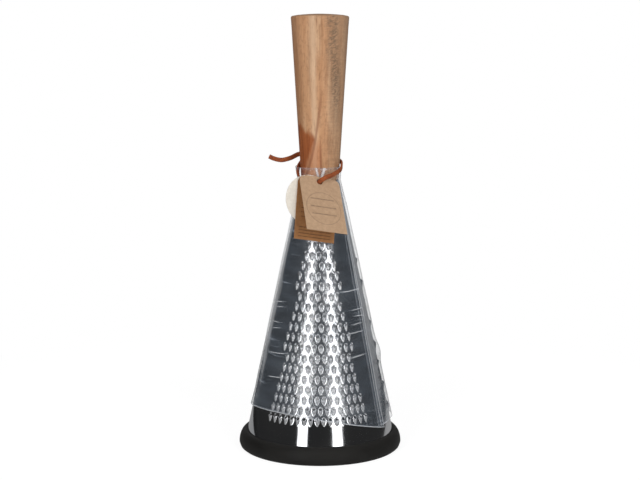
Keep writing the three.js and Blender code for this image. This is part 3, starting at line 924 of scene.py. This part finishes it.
def film_radius(turn, z):
    under = cone_radius(z) if z <= JOINT_HEIGHT else handle_radius(z)
    slack = FILM_GAP
    for middle, half, fade, amount in FILM_SLACK:
        slack += amount * smoothstep(half + fade, half, abs(degrees_from(turn, middle)))
    at_neck = smoothstep(NECK_FOOT, JOINT_HEIGHT, z)
    slack = slack * (1 - at_neck) + NECK_GAP * at_neck
    ripple = BROAD_RIPPLE * (1 + sin(9 * turn + z / 9) * sin(z / 17 + 2 * turn))
    ripple += FINE_RIPPLE * (1 + sin(23 * turn - z / 6))
    ripple *= 1 - CALM_AT_SIDES * (bell(turn, -90, 25) + bell(turn, 90, 25))
    top = max(0, (z - LOOSE_FOOT) / (FILM_TOP_HEIGHT - LOOSE_FOOT))
    loose = LOOSE_LEFT * top * max(0, sin(-turn - 0.3)) + LOOSE_WAVE * top * sin(5 * turn)
    right_bulge = RIGHT_BULGE * bell(turn, 88, 14) * hump(z - BULGE_HEIGHT, 6)
    left_tip = LEFT_TIP * bell(turn, -88, 14) * hump(z - film_foot(turn), 8)
    overlap = LAP_RISE * smoothstep(radians(LAP_START), radians(FILM_INNER_EDGE), turn)
    return under + slack + ripple + loose + right_bulge + left_tip + overlap


def pinch_glint_at(turn, z):
    """1 on the painted glints of the two creases over the neck, 0 beside them."""
    pinch_glint = 0
    for start, height, slope, outside, inside in FILM_PINCH_GLINTS:
        away = abs(to_degrees(turn) - (start + (height - z) * slope))
        pinch_glint = max(pinch_glint, smoothstep(outside, inside, away))
    return pinch_glint * smoothstep(*PINCH_FOOT, z) * smoothstep(*PINCH_TOP, z)


def film_sleeve(material):
    """The film as a thin closed sheet whose outer end laps over its inner end at the right."""
    start = FILM_INNER_EDGE - 360
    first = start + SIDE_BAND
    last = FILM_OUTER_EDGE - SIDE_BAND
    turns = [start + step for step in SIDE_STEPS]
    turns += [first + (last - first) * k / FILM_COLUMNS for k in range(FILM_COLUMNS + 1)]
    turns += [FILM_OUTER_EDGE - step for step in reversed(SIDE_STEPS)]
    outer = []
    inner = []
    edges = []
    pinch_glints = []
    for degrees in turns:
        turn = radians(degrees)
        foot = film_foot(turn)
        low = foot + FOOT_LIFTS[-1]
        heights = [foot + lift for lift in FOOT_LIFTS]
        heights += [low + (FILM_TOP_HEIGHT - low) * k / FILM_ROWS for k in range(1, FILM_ROWS + 1)]
        for z in heights:
            radius = film_radius(turn, z)
            from_side = radians(min(degrees - start, FILM_OUTER_EDGE - degrees)) * radius
            # Painted highlight: pale along the film's cut edges and faintly at its top, stored for the
            # paint.
            painted_highlight = smoothstep(PALE_EDGE, 0, min(from_side, z - foot))
            outer.append(at_turn(degrees, radius, z))
            inner.append(at_turn(degrees, radius - FILM_THICKNESS, z))
            edges.append(max(painted_highlight, PALE_TOP * smoothstep(2, 0, FILM_TOP_HEIGHT - z)))
            pinch_glints.append(pinch_glint_at(turn, z))
    tall = len(heights)
    faces = []
    for i in range(len(turns) - 1):
        for corner in range(i * tall, i * tall + tall - 1):
            faces.append((corner, corner + tall, corner + tall + 1, corner + 1))
    inside, cut = closing_faces(faces, len(outer))
    piece = add_mesh("film", outer + inner, faces + inside + cut, material, "grater")
    store(piece, "edge", edges * 2)
    store(piece, "pinch_glint", pinch_glints * 2)
    return piece


# Tags: plates in their own axes, right, towards the neck, up, with the punched hole at the origin
GRID_OFFSET = Vector((0.013, 0.017))
SHOULDER_STEPS = 12
HOLE_SIDES = 28
DISC_SIDES = 72


def rotation(degrees, axis):
    return Matrix.Rotation(radians(degrees), 4, axis)


ONE_CARD_OUT = Matrix.Translation((0, -(CARD + TAG_GAP), 0))
TAG_AXES = Matrix.Translation(TAG_HOLE) @ rotation(TAG_YAW, "Z") @ Matrix.Rotation(-CONE_ANGLE, 4, "X")
ROUND_TAG_AXES = TAG_AXES @ rotation(ROUND_TAG_ROLL, "Y")
FOLDED_TAG_AXES = TAG_AXES @ ONE_CARD_OUT @ rotation(FOLDED_TAG_ROLL, "Y")
FOLD_AXES = FOLDED_TAG_AXES @ ONE_CARD_OUT @ Matrix.Translation((0, 0, FOLD_ABOVE_HOLE))
COVER_AXES = FOLD_AXES @ rotation(-FOLD_OPENING, "X")


def leaf_outline():
    half = FOLDED_TAG_WIDTH / 2
    foot = FOLD_ABOVE_HOLE - FOLDED_TAG_LENGTH
    curve = []
    for k in range(SHOULDER_STEPS + 1):
        t = k / SHOULDER_STEPS
        curve.append((half - t**2 * (half - FOLD_WIDTH / 2), FOLD_ABOVE_HOLE - (1 - t) ** 2 * SHOULDER_DROP))
    mirrored = [(-x, z) for x, z in reversed(curve)]
    return [(-half, foot), (half, foot), *curve, *mirrored]


def whole_numbers(values):
    return range(ceil(min(values)), floor(max(values)) + 1)


def card(name, outline, axes, material, body, hole_drop=0.0):
    """A card with a punched hole, in fine triangles."""
    hole = circle(SHOWN_HOLE, HOLE_SIDES)
    flat = [Vector(spot) for spot in outline + hole]
    for x in whole_numbers([x for x, z in outline]):
        for z in whole_numbers([z for x, z in outline]):
            flat.append(Vector((x, z)) + GRID_OFFSET)
    numbers = range(len(outline) + len(hole))
    loops = [list(numbers[: len(outline)]), list(numbers[len(outline) :])]
    found = delaunay_2d_cdt(flat, [], loops, INSIDE_ONLY, JOIN_WITHIN)
    spots, triangles, sources = found[0], found[2], found[5]
    count = len(spots)
    faces = [tuple(t) for t, source in zip(triangles, sources) if 0 in source and 1 not in source]
    points = []
    for depth in (-SHOWN_CARD, 0):
        points += [axes @ Vector((x, depth, z - hole_drop)) for x, z in spots]
    inside, cut = closing_faces(faces, count)
    piece = add_mesh(name, points, faces + inside + cut, material, body)
    keep_edges(piece, 40)
    store(piece, "across", [x for x, z in spots] * 2)
    store(piece, "up", [z for x, z in spots] * 2)
    store(piece, "front", [1.0] * count + [0.0] * count)
    return piece


# The handle
rim_radius = handle_radius(RIM_HEIGHT)
spigot_foot = JOINT_HEIGHT - SPIGOT_LENGTH
edge_centre = (rim_radius - HANDLE_EDGE_ROUND, RIM_HEIGHT - HANDLE_EDGE_ROUND)
handle_profile = [
    (0, PILOT_TOP),
    (PILOT_RADIUS, PILOT_TOP),
    (PILOT_RADIUS, spigot_foot),
    (SPIGOT_FOOT_RADIUS, spigot_foot),
    (SPIGOT_TOP_RADIUS, JOINT_HEIGHT),
    (NECK_RADIUS - NECK_EDGE, JOINT_HEIGHT),
    (NECK_RADIUS, JOINT_HEIGHT + NECK_EDGE),
    *((handle_radius(z), z) for z in GRIP_HEIGHTS),
    *quarter(edge_centre, HANDLE_EDGE_ROUND, HANDLE_EDGE_ROUND, 6),
    *((share * rim_radius, OVERALL_HEIGHT - share**2 * HANDLE_CROWN) for share in (0.8, 0.6, 0.4, 0.2, 0)),
]
handle = turned("handle_wood", handle_profile, wood, "grater")
keep_edges(handle, 35)
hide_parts("handle")

# The cone
cone = cone_sheet(steel)
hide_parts("grater_cone")

# The foot ring
ring_outer = CONE_FOOT_RADIUS + RING_FLARE
ring_lip = cone_radius(RING_HEIGHT) + RING_LIP
flare_height = RING_HEIGHT - RING_FLARE_HEIGHT
ring_profile = [
    (RING_BORE, RING_EDGE),
    (RING_BORE + RING_EDGE, 0),
    (ring_outer - SOLE_INSET, 0),
    (ring_outer - SOLE_EDGE, SOLE_EDGE),
    *quarter((ring_lip, RING_FLARE_HEIGHT), ring_outer - ring_lip, flare_height, 12),
    *((cone_radius(z) + GROOVE_GAP, z) for z in (RING_HEIGHT, GROOVE_FLOOR)),
    *((cone_radius(z) - GROOVE_DEPTH, z) for z in (GROOVE_FLOOR, RING_INNER_LIP)),
    (RING_BORE + RING_EDGE, RING_INNER_LIP),
    (RING_BORE, RING_INNER_LIP - RING_EDGE),
    (RING_BORE, RING_EDGE),
]
ring = turned("foot_rubber", ring_profile, rubber, "grater")
keep_edges(ring, 50)
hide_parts("foot_ring")

# The film
sleeve = film_sleeve(film)
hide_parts("film_sleeve")

# The tags
disc_outline = circle(ROUND_TAG_RADIUS, DISC_SIDES, ROUND_TAG_RADIUS - ROUND_TAG_HOLE_INSET)
disc = card("round_card_paper", disc_outline, ROUND_TAG_AXES, cream, "round_card")
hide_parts("round_tag")
back_leaf = card("folded_card_back", leaf_outline(), FOLDED_TAG_AXES, kraft_back_painted_shade, "folded_card")
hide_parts("folded_tag_back")
front_leaf = card(
    "folded_card_front", leaf_outline(), COVER_AXES, kraft_front, "folded_card_cover", FOLD_ABOVE_HOLE
)
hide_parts("folded_tag_front")

# The rounded fold between the leaves
fold_line = [COVER_AXES @ Vector((share * FOLD_WIDTH, 0, 0)) for share in (-0.5, -0.25, 0, 0.25, 0.5)]
fold_facing = COVER_AXES.to_3x3() @ Vector((0, -1, 0))
fold_strip = strip(
    "folded_card_fold", fold_line, fold_facing, kraft_fold, "folded_card", FOLD_THICKNESS, FOLD_THICKNESS
)

# The lace: its routes in millimetres, as in the CAD model but for the loop's left, which hangs lower
LOOP_ROUTE = [
    (-3.548, 14.78, 202.6), (-10.607, 10.607, 201), (-14.4, 3.882, 197.4),
    (-15.3, -2.761, 194.4), (-14.5, -8.6, 190.8), (-8.167, -19.562, 186.338),
    (-3.602, -18.905, 186.664), (-1.505, -20.586, 187.19), (-0.637, -22.245, 187.761),
    (-0.434, -22.578, 188.021), (-0.053, -23.123, 188.694), (3.695, -23.428, 191.146),
    (8.623, -19.367, 192.8), (13.789, -11.57, 195.4), (14.868, -3.16, 197.8),
    (14.489, 3.882, 199.7), (10.607, 10.607, 201.3), (3.548, 14.78, 202.6),
]
LONG_TAIL_ROUTE = [
    (-3.75, 17.6, 203.4), (-9, 17.8, 205), (-15, 15.5, 204.2), (-21, 13, 201.6),
    (-27, 11.6, 200.4), (-32, 11, 201.4), (-35.5, 10.6, 203),
]
SHORT_TAIL_ROUTE = [(1.2, 17.2, 199.1), (2.6, 19.4, 192), (4, 21.4, 183), (6, 24, 173), (8, 26, 166)]
KNOT_BACK = 16.45
KNOT_SIZE = 1.05
KNOT_LOOPS = 1.35
KNOT_DEPTH = 0.95
KNOT_STEPS = 120
KNOT_LACE = (2.2, 1.4)


def lace(name, route, node):
    line = smooth_route(route)
    start = Vector(route[0])
    piece = strip(name, line, (start.x, start.y, 0), leather, "tie")
    keep_edges(piece, 60)
    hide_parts(node)
    return piece


def knot_line():
    """The knot: the lace laid over itself three times."""
    line = []
    for k in range(KNOT_STEPS + 1):
        turn = tau * k / KNOT_STEPS
        x = KNOT_SIZE * (sin(turn) + KNOT_LOOPS * sin(2 * turn))
        y = KNOT_DEPTH * -sin(3 * turn)
        z = KNOT_SIZE * (cos(turn) - KNOT_LOOPS * cos(2 * turn))
        line.append(Vector((x, KNOT_BACK + y, KNOT_HEIGHT + z)))
    return line


knot = strip("lace_knot_wraps", knot_line(), (0, 1, 0.2), leather, "tie", *KNOT_LACE)
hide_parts("lace_knot")
lace("lace_loop_strip", LOOP_ROUTE, "lace_loop")
lace("lace_long_strip", LONG_TAIL_ROUTE, "lace_long_tail")
lace("lace_short_strip", SHORT_TAIL_ROUTE, "lace_short_tail")

# CAD nodes that keep their shapes
for node, material in (("top_plate", steel), ("screw_washer", zinc), ("handle_screw", zinc)):
    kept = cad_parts[node]
    kept.data.materials.clear()
    kept.data.materials.append(material)

# The stage: a pale floor and a studio of soft light round the object, in metres
FLOOR_RADIUS = 0.43
FLOOR_SIDES = 120
BOX_LEVEL = 3.3
BACKDROP_LEVEL = 0.3
CEILING_LEVEL = 0.6
ROOM_LEVEL = 0.024
FILL_LEVEL = 0.4
LAMP_POWER = 5.6
LAMP_SIZE = (0.35, 0.9)
LAMP_PLACE = (0.7, -1.1, 0.5)
LAMP_AIM = (0, 0, 0.15)


def floor_paint():
    """A pale floor that looks white, with a faint shadow, and its own brightness in the metal's shine."""
    paint = Paint("pale_floor", roughness=0.8)
    paint.colour((250, 250, 250))
    distance = paint.distance(paint.x, paint.y)
    ahead = paint.span(paint.size(paint.turn), 0.7, 1.6, 1, 0.02)
    in_front = paint.times(ahead, paint.span(distance, 0.06, 0.4, 0.35, 1.3))
    at_right = paint.times(paint.span(paint.x, -0.01, 0.01), paint.span(distance, 0.222, 0.208), 0.34)
    at_left = paint.times(paint.span(paint.x, 0.01, -0.01), paint.span(distance, 0.189, 0.177), 0.3)
    shone = paint.most(in_front, paint.plus(at_right, at_left))
    path = paint.add("ShaderNodeLightPath").outputs
    seen_level = paint.times(path["Is Camera Ray"], paint.span(distance, 0.18, 0.4, 1.12, 1))
    seen_share = paint.times(path["Is Camera Ray"], paint.span(distance, 0.18, 0.4, 0.8, 1))
    level = paint.plus(seen_level, paint.times(path["Is Glossy Ray"], shone))
    glow = paint.add("ShaderNodeEmission", {"Strength": level}).outputs[0]
    paint.show(paint.blend(paint.plus(seen_share, path["Is Glossy Ray"]), paint.surface, glow))
    return paint.material


floor_rim = [(x, y, 0) for x, y in circle(FLOOR_RADIUS, FLOOR_SIDES)]
floor_mesh = bpy.data.meshes.new("floor")
floor_mesh.from_pydata(floor_rim, [], [tuple(range(FLOOR_SIDES))])
floor_mesh.materials.append(floor_paint())
ground = add_object("floor", floor_mesh)


def studio_world():
    """White behind the object; for the shine, a dark room with two tall soft boxes and a pale backdrop."""
    world = bpy.data.worlds.new("studio")
    bpy.context.scene.world = world
    world.use_nodes = True
    room = Nodes(world.node_tree, "Generated")
    aside = room.size(room.turn)

    def fade(angle, low, high):
        return room.span(angle, radians(low), radians(high))

    tall = room.times(room.span(room.z, -0.12, 0), room.span(room.z, 0.85, 0.7))
    boxes = room.times(fade(aside, 19, 22), fade(aside, 37, 33), tall)
    backdrop = room.plus(room.times(fade(room.turn, 121, 124), 0.75), fade(room.turn, -137, -147))
    ceiling = room.span(room.z, 0.7, 0.95)
    shine = room.plus(
        room.times(boxes, BOX_LEVEL),
        room.times(backdrop, BACKDROP_LEVEL),
        room.times(ceiling, CEILING_LEVEL),
        ROOM_LEVEL,
    )
    path = room.add("ShaderNodeLightPath").outputs
    fill = room.times(path["Is Diffuse Ray"], FILL_LEVEL)
    glossy = room.times(room.minus(1, path["Is Diffuse Ray"]), shine)
    seen = room.most(path["Is Camera Ray"], path["Is Transmission Ray"])
    level = room.times(room.minus(1, seen), room.plus(fill, glossy))
    background = room.tree.nodes["Background"]
    room.feed(room.plus(level, seen), background.inputs["Strength"])
    room.feed((1, 1, 1, 1), background.inputs["Color"])


def soft_light(name, side):
    data = bpy.data.lights.new(name, "AREA")
    data.shape = "RECTANGLE"
    data.size, data.size_y = LAMP_SIZE
    data.energy = LAMP_POWER
    lamp = add_object(name, data)
    lamp.location = (side * LAMP_PLACE[0], *LAMP_PLACE[1:])
    lamp.rotation_euler = (Vector(LAMP_AIM) - lamp.location).to_track_quat("-Z", "Y").to_euler()
    lamp.visible_camera = False
    lamp.visible_glossy = False


studio_world()
soft_light("left_box", -1)
soft_light("right_box", 1)

# The camera, at the photograph's angle, with its focal length and shift in the photograph's pixels
SENSOR_WIDTH = 36
PHOTO_WIDTH = 640
FOCAL_LENGTH = 1385
SHIFT_UP = 0.5
CAMERA_TILT = 7.8
CAMERA_PLACE = (0, -0.955, 0.276)
camera_data = bpy.data.cameras.new("camera")
camera_data.sensor_width = SENSOR_WIDTH
camera_data.lens = SENSOR_WIDTH * FOCAL_LENGTH / PHOTO_WIDTH
camera_data.shift_y = SHIFT_UP / PHOTO_WIDTH
camera = add_object("camera", camera_data)
camera.location = CAMERA_PLACE
camera.rotation_euler = (radians(90 - CAMERA_TILT), 0, 0)
bpy.context.scene.camera = camera
bpy.context.scene.view_settings.view_transform = "Standard"
